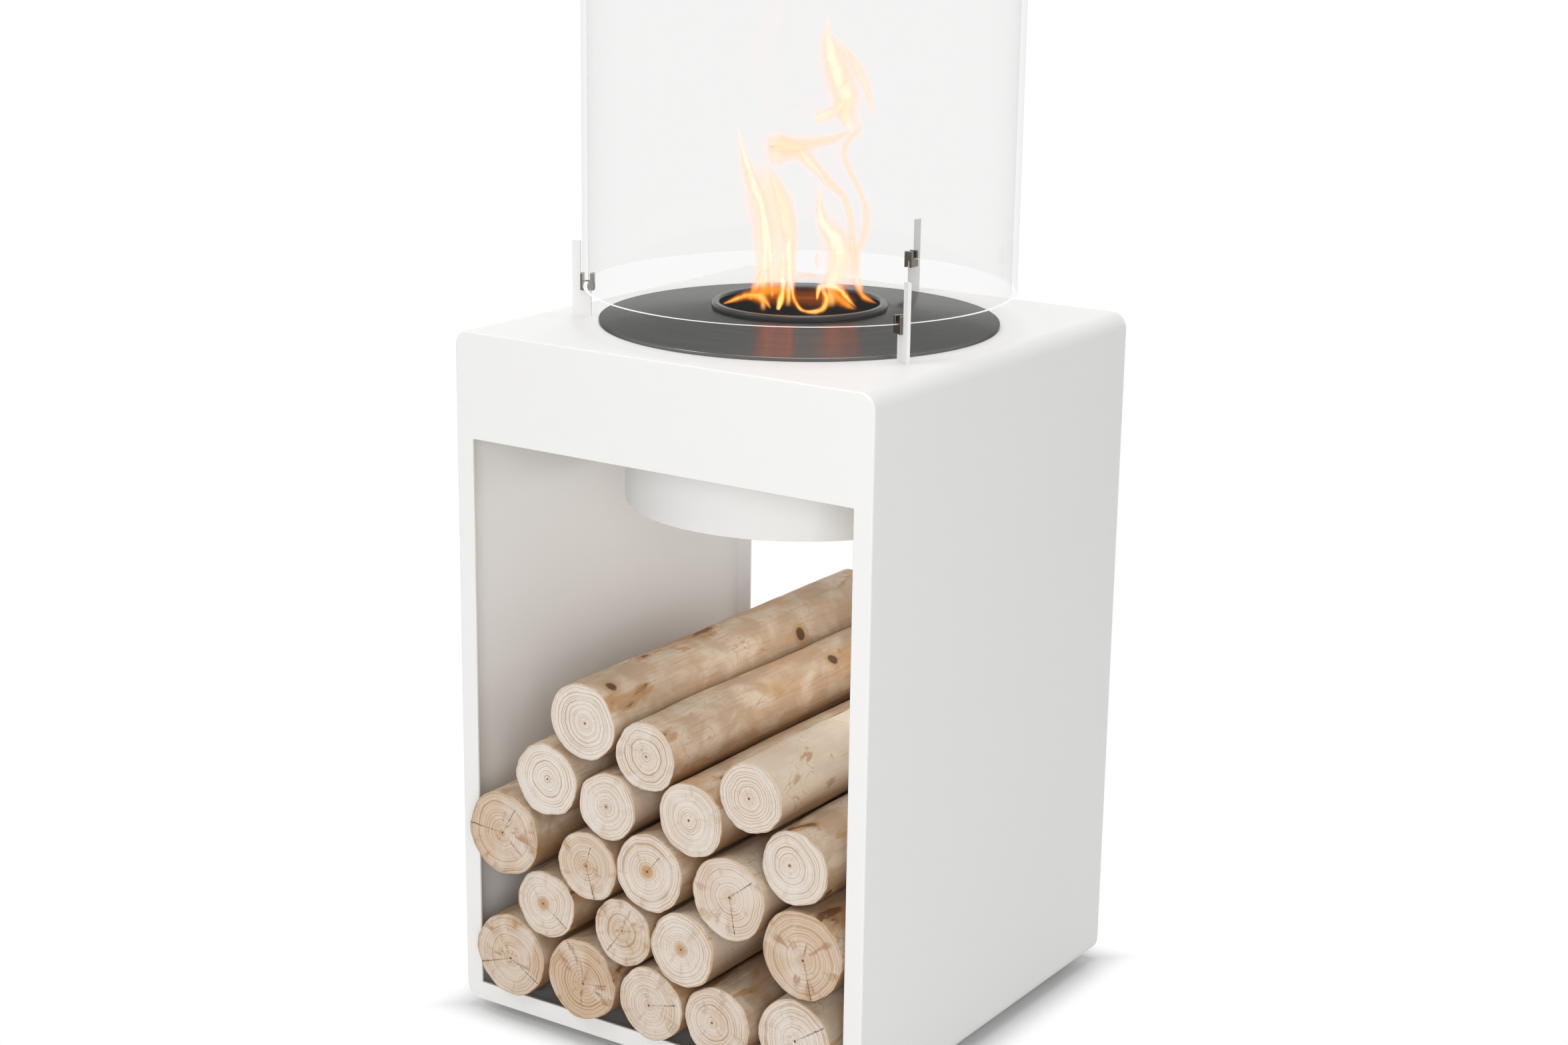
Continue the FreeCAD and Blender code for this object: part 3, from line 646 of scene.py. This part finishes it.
def peeled_side(tree, x, y, z, seed, tan):
    """Mottled wood with brown scars, worm tracks, dark knots and painted shade towards its underside; gives
    the colour and the relief.
    """
    shift = calc(tree, "MULTIPLY", seed, 2.3)
    mottle_place = point(tree, x, calc(tree, "MULTIPLY_ADD", y, 22.0, shift), z)
    long_place = point(tree, x, calc(tree, "MULTIPLY_ADD", y, 10.0, shift), z)
    grain_place = point(
        tree,
        calc(tree, "MULTIPLY", x, 15.0),
        calc(tree, "MULTIPLY_ADD", y, 24.0, shift),
        calc(tree, "MULTIPLY", z, 15.0),
    )
    mottle = cloudy(tree, mottle_place, 1.2, 6.0, 0.4)
    warmth = cloudy(tree, long_place, 0.8, 4.0, 0.8)
    grain = cloudy(tree, grain_place, 1.0, 4.0)
    scar = cloudy(tree, long_place, 1.25, 7.0, 0.7)
    side = tinted(tree, tan, (0.59, 0.425, 0.29, 1), (0.49, 0.32, 0.195, 1))
    side = tinted(tree, step_up(tree, mottle, 0.40, 0.62), side, (0.71, 0.585, 0.45, 1))
    side = stained(tree, step_up(tree, warmth, 0.50, 0.66), 0.6, side, (0.60, 0.35, 0.17, 1))
    side = stained(tree, step_up(tree, warmth, 0.46, 0.30), 0.45, side, (0.50, 0.40, 0.29, 1))
    side = stained(tree, step_up(tree, grain, 0.48, 0.70), 0.3, side, (0.40, 0.255, 0.145, 1))
    side = tinted(tree, named(tree, "log_bleach"), side, (0.86, 0.755, 0.62, 1))
    side = stained(tree, step_up(tree, scar, 0.585, 0.63), 0.7, side, (0.50, 0.26, 0.10, 1))
    side = stained(tree, step_up(tree, scar, 0.65, 0.69), 0.85, side, (0.15, 0.07, 0.028, 1))
    crawl = cloudy(tree, mottle_place, 1.3, 2.0, 1.2)
    crawl = calc(tree, "ABSOLUTE", calc(tree, "SUBTRACT", crawl, 0.5))
    track = calc(tree, "MULTIPLY", step_up(tree, crawl, 0.014, 0.004), step_up(tree, mottle, 0.50, 0.60))
    side = stained(tree, track, 0.6, side, (0.50, 0.26, 0.11, 1))
    # Painted shade: each log's side darkens to deep brown from a little above its middle down to its
    # underside, standing in for the shade in the gaps between the stacked logs
    painted_underside_shade = step_up(tree, z, 0.3, -0.55)
    side = stained(tree, painted_underside_shade, 0.85, side, (0.24, 0.12, 0.045, 1))

    # Knots: what is left of branches, a dark eye in a brown ring
    knots_per_metre = 17.0
    usual_radius = 0.035
    knot_place = point(
        tree,
        calc(tree, "MULTIPLY_ADD", calc(tree, "ARCTAN2", z, x), usual_radius * knots_per_metre, shift),
        calc(tree, "MULTIPLY", y, knots_per_metre),
        calc(tree, "MULTIPLY", seed, 3.1),
    )
    knots = put(tree, "ShaderNodeTexVoronoi", {"Vector": knot_place, "Scale": 1.0, "Randomness": 1.0})
    lot = put(tree, "ShaderNodeSeparateColor", {0: knots.outputs["Color"]}).outputs[0]
    drawn = calc(tree, "GREATER_THAN", lot, 0.5)
    away = calc(tree, "SUBTRACT", knots.outputs["Distance"], 0.03)
    away = calc(tree, "MULTIPLY_ADD", mottle, 0.06, away)
    ring = calc(tree, "MULTIPLY", step_up(tree, away, 0.24, 0.13), drawn)
    eye = calc(tree, "MULTIPLY", step_up(tree, away, 0.125, 0.085), drawn)
    side = stained(tree, ring, 0.6, side, (0.50, 0.29, 0.13, 1))
    side = stained(tree, eye, 0.92, side, (0.085, 0.04, 0.018, 1))
    return side, calc(tree, "MULTIPLY_ADD", eye, -0.8, calc(tree, "MULTIPLY_ADD", mottle, 0.6, grain))


def peeled_pine():
    material, tree = new_finish("peeled_pine")
    x, y, z = put(tree, "ShaderNodeSeparateXYZ", {0: named(tree, "log_place", "VECTOR")}).outputs
    seed = named(tree, "log_seed")
    tan = named(tree, "log_tan")
    sawn = named(tree, "sawn")
    end, end_height = sawn_end(tree, x, z, seed, tan)
    side, side_height = peeled_side(tree, x, y, z, seed, tan)
    height = put(tree, "ShaderNodeMix", {0: sawn, 2: side_height, 3: end_height}, data_type="FLOAT")
    relief_depth = 0.0012
    surfaced(
        tree,
        Base_Color=tinted(tree, sawn, side, end),
        Roughness=0.72,
        Normal=raised(tree, height.outputs[0], 0.5, relief_depth),
    )
    return material


# Each log's own look: how tan (0 pale to 1 brown), how orange its heart, where its pith lies as
# shares of the radius, and two drying cracks as an angle in degrees and a reach from the pith.
log_looks = {
    "log_01": (0.95, 0.2, (0.02, -0.08), (200, 1.0), (330, 0.9)),
    "log_02": (1.0, 0.3, (0.05, -0.10), (95, 0.55), (10, 0.7)),
    "log_03": (0.45, 0.2, (-0.05, -0.05), (15, 0.9), (110, 0.35)),
    "log_04": (0.50, 0.1, (-0.15, 0.0), (20, 0.0), (300, 0.0)),
    "log_05": (0.30, 0.1, (0.05, 0.05), (35, 0.95), (250, 0.0)),
    "log_06": (0.35, 0.9, (-0.10, 0.02), (325, 1.0), (230, 0.0)),
    "log_07": (0.70, 0.2, (-0.02, 0.05), (235, 0.9), (120, 0.0)),
    "log_08": (0.30, 0.9, (-0.05, 0.0), (20, 0.0), (200, 0.0)),
    "log_09": (0.85, 0.3, (0.05, -0.08), (285, 1.0), (80, 0.4)),
    "log_10": (0.85, 0.2, (-0.02, 0.02), (60, 0.75), (178, 1.0)),
    "log_11": (0.65, 0.4, (-0.02, 0.02), (75, 0.6), (285, 1.0)),
    "log_12": (0.35, 1.0, (-0.05, 0.05), (50, 0.6), (230, 0.0)),
    "log_13": (0.55, 0.3, (0.05, 0.05), (40, 0.8), (280, 0.9)),
    "log_14": (0.20, 0.1, (-0.15, 0.05), (180, 0.0), (250, 0.0)),
    "log_15": (0.20, 0.2, (-0.02, 0.0), (85, 0.0), (200, 0.0)),
    "log_16": (0.05, 0.0, (0.05, 0.02), (10, 0.0), (250, 0.0)),
    "log_17": (0.25, 0.1, (-0.05, 0.0), (60, 0.0), (200, 0.0)),
    "log_18": (0.20, 0.3, (-0.05, 0.0), (120, 0.25), (250, 0.0)),
    "log_19": (0.25, 0.1, (0.02, 0.03), (130, 0.3), (250, 0.0)),
    "log_20": (0.10, 0.1, (0.08, -0.02), (300, 0.0), (250, 0.0)),
}
# How far the sun has drawn the colour out of the sides of some logs
log_bleach = {"log_18": 0.6, "log_05": 0.3, "log_08": 0.5, "log_13": 0.3, "log_15": 0.4}
pine = peeled_pine()
log_tree, log_sockets = peeled_log_tree(pine)
log_draw = random.Random(20)
log_edge = 0.0009
log_sharp_degrees = 50.0
for node, (tan, heart, pith, split_one, split_two) in log_looks.items():
    low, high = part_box(node)
    seed = log_draw.uniform(0, 50)
    maker = bpy.data.objects.new(node + "_maker", bpy.data.meshes.new(node + "_maker"))
    bpy.context.scene.collection.objects.link(maker)
    modifier = maker.modifiers.new("log", "NODES")
    modifier.node_group = log_tree
    for name, value in (
        ("Radius", (high.x - low.x) / 2),
        ("Length", high.y - low.y),
        ("Seed", seed),
        ("Lumps", log_draw.uniform(0.14, 0.24)),
        ("Front Taper", log_draw.uniform(0.0, 0.012)),
        ("Rear Taper", log_draw.uniform(0.0, 0.04)),
    ):
        modifier[log_sockets[name]] = value
    graph = bpy.context.evaluated_depsgraph_get()
    mesh = bpy.data.meshes.new_from_object(maker.evaluated_get(graph))
    mesh.name = node + "_peeled"
    bpy.data.objects.remove(maker)
    mesh.transform(Matrix.Translation((low + high) / 2))
    smooth_by_angle(mesh, log_sharp_degrees)
    points = len(mesh.vertices)
    for name, number in (
        ("log_seed", seed),
        ("log_tan", tan),
        ("log_heart", heart),
        ("log_bleach", log_bleach.get(node, 0.0)),
    ):
        layer = mesh.attributes.new(name, "FLOAT", "POINT")
        layer.data.foreach_set("value", [number] * points)
    ways = [(pith[0], 0.0, pith[1])]
    ways += [(math.cos(math.radians(angle)), math.sin(math.radians(angle)), reach)
             for angle, reach in (split_one, split_two)]
    for name, way in zip(("log_pith", "log_split_one", "log_split_two"), ways):
        layer = mesh.attributes.new(name, "FLOAT_VECTOR", "POINT")
        layer.data.foreach_set("vector", list(way) * points)
    log = bpy.data.objects.new(node + "_peeled", mesh)
    bpy.context.scene.collection.objects.link(log)
    bevel = log.modifiers.new("sawn_edge", "BEVEL")
    bevel.width = log_edge
    bevel.segments = 2
    bevel.limit_method = "ANGLE"
    bevel.angle_limit = math.radians(log_sharp_degrees)
    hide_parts(node)
    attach(log, "log_pile")


# Glass screen: an open tube of clear heat-proof glass with ground ends. It stands loose in the
# three clips and keeps draught and fingers from the flame.
def clear_glass():
    """Clear through, darker and glossier where it is seen along its surface."""
    material, tree = new_finish("clear_glass")
    along = put(tree, "ShaderNodeLayerWeight", {"Blend": 0.5}).outputs["Facing"]
    grazing = calc(tree, "POWER", along, 5.0)
    tint = tinted(tree, grazing, (0.975, 0.974, 0.973, 1), (0.884, 0.886, 0.885, 1))
    through = put(tree, "ShaderNodeBsdfTransparent", {"Color": tint})
    gloss = put(tree, "ShaderNodeBsdfGlossy", {"Color": (1, 1, 1, 1), "Roughness": 0.02})
    share = calc(tree, "MULTIPLY_ADD", grazing, 0.25, 0.01)
    mixed = put(tree, "ShaderNodeMixShader", {0: share, 1: through.outputs[0], 2: gloss.outputs[0]})
    put(tree, "ShaderNodeOutputMaterial", {"Surface": mixed.outputs[0]})
    return material


def ground_edge_and_glow():
    """Pale ground rims with a faint painted glow, standing for the light that the wall carries along and
    lets out at them.
    """
    grit_per_metre = 900.0
    material, tree = new_finish("ground_glass_edge_and_glow")
    grit = cloudy(tree, own_place(tree), grit_per_metre, 3.0)
    surfaced(
        tree,
        Base_Color=tinted(tree, grit, (0.86, 0.88, 0.88, 1), (0.96, 0.965, 0.965, 1)),
        Roughness=0.35,
        # Painted glow: the rims give off a faint white light of their own
        Emission_Color=(1, 1, 1, 1),
        Emission_Strength=0.15,
    )
    return material


glass_low, glass_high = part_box("glass_screen")
glass_radius = glass_high.x
glass_wall = 0.005
glass_ground = 0.0008
glass_turns = 192
glass_sharp_degrees = 30.0
# Its section from the lower rim outwards and round; the steps numbered here are the ground rims
glass_rims = (0, 4)
glass_profile = [
    (glass_radius - glass_wall + glass_ground, glass_low.z),
    (glass_radius - glass_ground, glass_low.z),
    (glass_radius, glass_low.z + glass_ground),
    (glass_radius, glass_high.z - glass_ground),
    (glass_radius - glass_ground, glass_high.z),
    (glass_radius - glass_wall + glass_ground, glass_high.z),
    (glass_radius - glass_wall, glass_high.z - glass_ground),
    (glass_radius - glass_wall, glass_low.z + glass_ground),
]
glass_shape = bmesh.new()
glass_rings = [
    [
        glass_shape.verts.new((reach * math.cos(turn), reach * math.sin(turn), z))
        for turn in (math.tau * index / glass_turns for index in range(glass_turns))
    ]
    for reach, z in glass_profile
]
for number, ring in enumerate(glass_rings):
    following = glass_rings[(number + 1) % len(glass_rings)]
    for index in range(glass_turns):
        after = (index + 1) % glass_turns
        face = glass_shape.faces.new((ring[index], ring[after], following[after], following[index]))
        face.material_index = 1 if number in glass_rims else 0
        face.smooth = True
glass_mesh = bpy.data.meshes.new("glass_tube")
glass_shape.to_mesh(glass_mesh)
glass_shape.free()
glass_mesh.materials.append(clear_glass())
glass_mesh.materials.append(ground_edge_and_glow())
glass_mesh.set_sharp_from_angle(angle=math.radians(glass_sharp_degrees))
glass_tube = bpy.data.objects.new("glass_tube", glass_mesh)
bpy.context.scene.collection.objects.link(glass_tube)
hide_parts("glass_screen")
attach(glass_tube, "glass")


# Flame: burning fuel vapour, orange and dense inside the mouth and pale and thin above it. Each
# tongue is a soft ribbon along a curve, with a second one crossed through it.
def flame_light(rim_z):
    """Glowing soot: deep orange in front of the dark mouth, pale with peach borders in front of light."""
    material, tree = new_finish("flame_light")
    sheet = put(tree, "ShaderNodeUVMap", uv_map="tongue").outputs[0]
    across, along, _ = put(tree, "ShaderNodeSeparateXYZ", {0: sheet}).outputs
    place = own_place(tree)
    height = put(tree, "ShaderNodeSeparateXYZ", {0: place}).outputs[2]
    drawn_up = put(tree, "ShaderNodeMapping", {"Vector": place, "Scale": (95.0, 95.0, 24.0)})
    flicker = cloudy(tree, drawn_up.outputs[0], 1.0, 3.0, 0.8)
    from_middle = calc(tree, "ABSOLUTE", calc(tree, "MULTIPLY_ADD", across, 2.0, -1.0))
    middle = calc(tree, "SUBTRACT", 1.0, from_middle)
    strands = calc(tree, "MULTIPLY", calc(tree, "SUBTRACT", flicker, 0.5), 1.1)
    body = step_up(tree, calc(tree, "ADD", strands, middle), 0.0, 0.95)
    soft_edge = step_up(tree, calc(tree, "MULTIPLY_ADD", strands, 0.35, middle), 0.0, 0.85)
    ragged = calc(tree, "MULTIPLY_ADD", strands, 0.22, along)
    tip = calc(tree, "MULTIPLY", step_up(tree, ragged, 1.0, 0.72), step_up(tree, along, 0.0, 0.1))
    cover = calc(tree, "MULTIPLY", calc(tree, "MULTIPLY", soft_edge, tip), named(tree, "tongue_cover"))
    cover = calc(tree, "MULTIPLY", cover, calc(tree, "MULTIPLY_ADD", body, 0.5, 0.5))
    core = calc(tree, "POWER", body, 1.5)
    hot = calc(tree, "MULTIPLY", core, named(tree, "tongue_glow"))
    pale_from = rim_z + 0.010
    pale_to = rim_z + 0.019
    risen = step_up(tree, height, pale_from, pale_to)
    warm = step_up(tree, hot, 0.0, 0.6)
    bright = step_up(tree, hot, 0.55, 1.0)
    low_colour = tinted(tree, warm, (0.22, 0.042, 0.002, 1), (0.35, 0.118, 0.008, 1))
    low_colour = tinted(tree, bright, low_colour, (0.58, 0.28, 0.08, 1))
    high_colour = tinted(tree, hot, (0.68, 0.208, 0.122, 1), (0.68, 0.305, 0.238, 1))
    colour = tinted(tree, risen, low_colour, high_colour)
    glow = put(tree, "ShaderNodeEmission", {"Color": colour, "Strength": 3.6})
    clear = put(tree, "ShaderNodeBsdfTransparent", {"Color": (1, 1, 1, 1)})
    mixed = put(tree, "ShaderNodeMixShader", {0: cover, 1: clear.outputs[0], 2: glow.outputs[0]})
    put(tree, "ShaderNodeOutputMaterial", {"Surface": mixed.outputs[0]})
    return material


# Tongues, in millimetres: cover, glow (0 for a peach veil to 1 for a bright strand), depth towards
# the eye, and points of (sideways, height above the rim, width) from the mouth upwards.
flame_tongues = (
    # Left pair: two bright strands and the veils round and between them
    (0.64, 0.5, -10, [(-36, 6, 9), (-34, 30, 16), (-34, 59, 22), (-37, 83, 26), (-43, 104, 20),
                      (-50, 126, 12), (-56, 152, 2)]),
    (0.66, 0.5, 2, [(-21, 6, 22), (-20, 39, 28), (-20, 66, 31), (-24, 86, 31), (-31, 104, 20),
                    (-38, 124, 4)]),
    (0.6, 0.4, 12, [(-8, 8, 12), (-8, 49, 16), (-11, 73, 20), (-17, 91, 19), (-25, 108, 8),
                    (-31, 120, 2)]),
    (0.82, 1.0, -8, [(-32, -10, 9), (-32, 14, 13), (-30, 49, 14), (-33, 79, 15), (-43, 108, 13),
                     (-51, 134, 8), (-57, 160, 1)]),
    (0.8, 1.0, 14, [(-10, -8, 9), (-9, 16, 11), (-10, 45, 13), (-12, 69, 19), (-17, 87, 18), (-24, 104, 8),
                    (-29, 116, 1)]),
    (0.9, 1.0, 8, [(-15, 4, 9), (-15, 26, 9), (-14, 44, 1)]),
    (0.7, 1.0, -4, [(-24, 2, 7), (-25, 26, 8), (-27, 50, 7), (-31, 74, 3)]),
    # Right group: a full tongue, the curl that leaves it to the left and its outer border
    (0.62, 0.55, 10, [(32, 8, 32), (35, 39, 38), (29, 57, 32), (21, 69, 19), (16, 85, 11), (17, 108, 2)]),
    (0.8, 1.0, 14, [(27, -8, 14), (28, 16, 22), (34, 39, 24), (30, 53, 24), (22, 62, 16), (16, 77, 10),
                    (17, 104, 1)]),
    (0.72, 0.35, -14, [(48, 10, 13), (46, 45, 11), (43, 73, 10), (37, 93, 10), (27, 103, 12), (15, 117, 14),
                       (2, 130, 21), (-12, 135, 28), (-24, 136, 27), (-33, 136, 14)]),
    (0.6, 0.2, -16, [(42, 150, 4), (30, 144, 12), (14, 140, 14), (-1, 138, 20), (-16, 137, 26),
                     (-28, 136, 10)]),
    (0.6, 0.55, -12, [(2, 134, 8), (-13, 135, 20), (-29, 136, 14)]),
    (0.66, 0.5, -13, [(-21, 120, 12), (-21, 127, 26), (-21, 136, 31), (-21, 145, 26), (-21, 152, 12)]),
    (0.55, 0.9, -10, [(24, 100, 4), (17, 112, 8), (6, 124, 9), (-4, 134, 3)]),
    (0.64, 0.3, -4, [(52, 4, 11), (49, 39, 11), (55, 57, 11), (57, 77, 10), (50, 97, 8), (40, 116, 8),
                     (36, 130, 8), (41, 141, 9), (49, 149, 8), (46, 158, 10), (44, 170, 5)]),
    (0.5, 0.2, -8, [(-5, 18, 4), (6, 23, 7), (18, 21, 4)]),
    (0.35, 0.1, -6, [(16, 28, 4), (14, 37, 7), (17, 46, 2)]),
    # Loose flame at the top, with its foot and a wisp at its side
    (0.66, 0.45, 2, [(41, 150, 12), (37, 165, 26), (36, 180, 34), (31, 198, 38), (25, 215, 28),
                     (21, 230, 16), (20, 246, 3)]),
    (0.78, 1.0, 5, [(43, 148, 5), (37, 162, 19), (36, 176, 25), (31, 192, 28), (25, 209, 23), (21, 224, 14),
                    (20, 248, 1)]),
    (0.62, 0.5, 8, [(60, 158, 2), (57, 173, 9), (52, 188, 12), (44, 202, 14), (35, 214, 12), (26, 228, 3)]),
    (0.72, 0.7, 4, [(10, 158, 10), (15, 159, 15), (23, 162, 16), (31, 168, 17), (38, 182, 8)]),
    # Low fire in the mouth
    (0.85, 0.8, 20, [(-67, -6, 2), (-54, -1, 9), (-45, 2, 13), (-35, 1, 17), (-28, -5, 9), (-25, -10, 2)]),
    (0.85, 0.6, 14, [(-44, -2, 5), (-38, 9, 13), (-33, 19, 12), (-30, 28, 3)]),
    (0.82, 0.45, 8, [(-42, 8, 8), (-37, 8, 17), (-24, 8, 19), (-10, 8, 14), (-4, 8, 5)]),
    (0.95, 1.0, 20, [(-19, -11, 4), (-16, 0, 11), (-14, 11, 8), (-13, 18, 2)]),
    (0.88, 0.85, 22, [(-8, 20, 9), (-6, 3, 8), (0, -9, 6), (10, -12, 6), (20, -9, 9),
                      (23, 0, 10), (20, 9, 8), (22, 20, 3)]),
    (0.88, 0.95, 18, [(15, -2, 3), (17, 9, 9), (26, 12, 12), (35, 8, 12), (42, 0, 9), (50, -8, 2)]),
    (0.82, 0.5, 14, [(26, 10, 8), (33, 3, 16), (41, -4, 12), (49, -9, 2)]),
    (0.85, 0.7, 12, [(49, 20, 5), (51, 13, 11), (54, 5, 9), (59, 1, 9), (67, -3, 2)]),
    (0.25, 0.0, -20, [(-40, 2, 10), (-15, 4, 20), (10, 4, 22), (35, 4, 20), (55, 2, 8)]),
)
rim_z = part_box("mouth_collar")[1].z
millimetre = 0.001
flame_steps = 40
flame_across = 12
least_width = 0.0005
cross_share = 0.9
# How far a tongue sways, over what rise, from what height on, and how far each is out of step
sway = 0.011
sway_rise = 0.032
sway_start = 0.05
sway_lag = 2.1
towards_eye = Vector((math.sin(eye_azimuth), -math.cos(eye_azimuth), 0))


def smooth_track(points, steps):
    """Points along a smooth curve that passes through every given one."""
    track = []
    for step in range(steps + 1):
        run = step / steps * (len(points) - 1)
        first = min(int(run), len(points) - 2)
        share = run - first
        near = [points[min(max(first + offset, 0), len(points) - 1)] for offset in (-1, 0, 1, 2)]
        track.append([
            0.5 * (2 * b + (c - a) * share + (2 * a - 5 * b + 4 * c - d) * share**2
                   + (3 * b - a - 3 * c + d) * share**3)
            for a, b, c, d in zip(*near)
        ])
    return track


flame_shape = bmesh.new()
tongue_map = flame_shape.loops.layers.uv.new("tongue")
tongue_cover = flame_shape.verts.layers.float.new("tongue_cover")
tongue_glow = flame_shape.verts.layers.float.new("tongue_glow")
for number, (cover, glow, depth, points) in enumerate(flame_tongues):
    stops = [[length * millimetre for length in stop] for stop in points]
    track = smooth_track(stops, flame_steps)
    for crossed in (False, True):
        rows = []
        for step, (aside, lift, width) in enumerate(track):
            before = track[max(step - 1, 0)]
            after = track[min(step + 1, flame_steps)]
            heading = Vector((after[0] - before[0], after[1] - before[1])).normalized()
            # Tongues sway towards the eye and away; the lift keeps their outline from the front
            free = min(max(lift / sway_start, 0.0), 1.0)
            near = depth * millimetre + sway * free * math.sin(lift / sway_rise + sway_lag * number)
            height = rim_z + lift + near * math.tan(eye_elevation)
            centre = level_right * aside + towards_eye * near + Vector((0, 0, height))
            wide = max(width, least_width)
            if crossed:
                way = towards_eye * (wide * cross_share)
            else:
                way = (level_right * heading.y - Vector((0, 0, heading.x))) * wide
            row = []
            for column in range(flame_across + 1):
                corner = flame_shape.verts.new(centre + way * (column / flame_across - 0.5))
                corner[tongue_cover] = cover
                corner[tongue_glow] = glow
                row.append(corner)
            rows.append(row)
        for step in range(flame_steps):
            for column in range(flame_across):
                corners = [(step, column), (step, column + 1), (step + 1, column + 1), (step + 1, column)]
                face = flame_shape.faces.new([rows[up][over] for up, over in corners])
                face.smooth = True
                for loop, (up, over) in zip(face.loops, corners):
                    loop[tongue_map].uv = (over / flame_across, up / flame_steps)
flame_mesh = bpy.data.meshes.new("flame")
flame_shape.to_mesh(flame_mesh)
flame_shape.free()
flame_mesh.materials.append(flame_light(rim_z))
flame = bpy.data.objects.new("flame", flame_mesh)
bpy.context.scene.collection.objects.link(flame)
# In bright studio light a flame shows in gloss, but throws no light that can be seen on white
flame.visible_diffuse = False
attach(flame, "burner")
